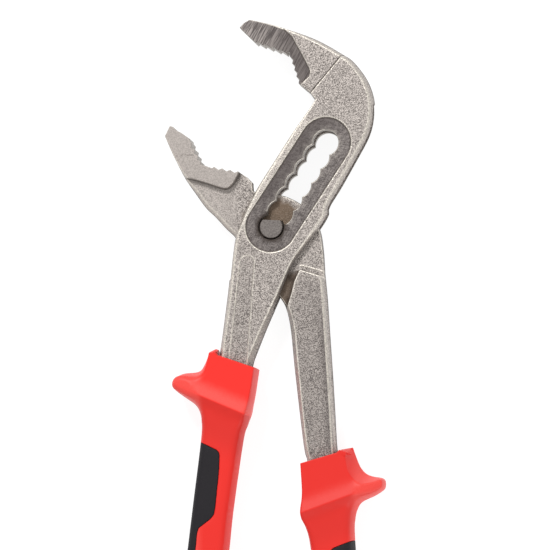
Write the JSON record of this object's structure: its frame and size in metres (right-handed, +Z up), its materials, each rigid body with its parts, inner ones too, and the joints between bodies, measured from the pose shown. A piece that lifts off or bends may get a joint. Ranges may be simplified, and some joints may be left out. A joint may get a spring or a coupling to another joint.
{
  "type": "tongue and groove pliers",
  "caption": "Box-joint adjustable gripping pliers with a scalloped slot, a sliding D-shaped pin, serrated jaws and two-tone sleeves with finger guards.",
  "frame": {"origin": "middle of the footprint, on the surface that the sleeves lie on, with the jaws open a little at the widest slot position", "axes": "+Y runs from the handles towards the jaws, +Z is up along the pin's axis, +X points from the slotted lever's handle to the through lever's handle"},
  "size_m": [0.0886, 0.2898, 0.02],
  "materials": {
    "steel": "forged and blasted to a speckled satin grey, with brighter ground edges",
    "pin_steel": "turned and ground, satin",
    "red_grip": "soft satin moulded elastomer",
    "black_grip": "fine matt moulded elastomer"
  },
  "bodies": {
    "fixed_lever": {"slotted_lever": "steel", "left_grip_sleeve": "red_grip", "left_grip_inlay": "black_grip"},
    "pin": {"pivot_pin": "pin_steel"},
    "moving_lever": {"through_lever": "steel", "right_grip_sleeve": "red_grip", "right_grip_inlay": "black_grip"}
  },
  "joints": [
    {"name": "jaw_adjust", "type": "slide", "parent": "fixed_lever", "child": "pin", "axis": [0.5496, 0.8354, 0], "range_m": [0, 0.04]},
    {"name": "jaw_pivot", "type": "hinge", "parent": "pin", "child": "moving_lever", "pos_m": [-0.0009, 0.06053, 0.01], "axis": [0, 0, 1], "range_deg": [-6, 60]}
  ]
}
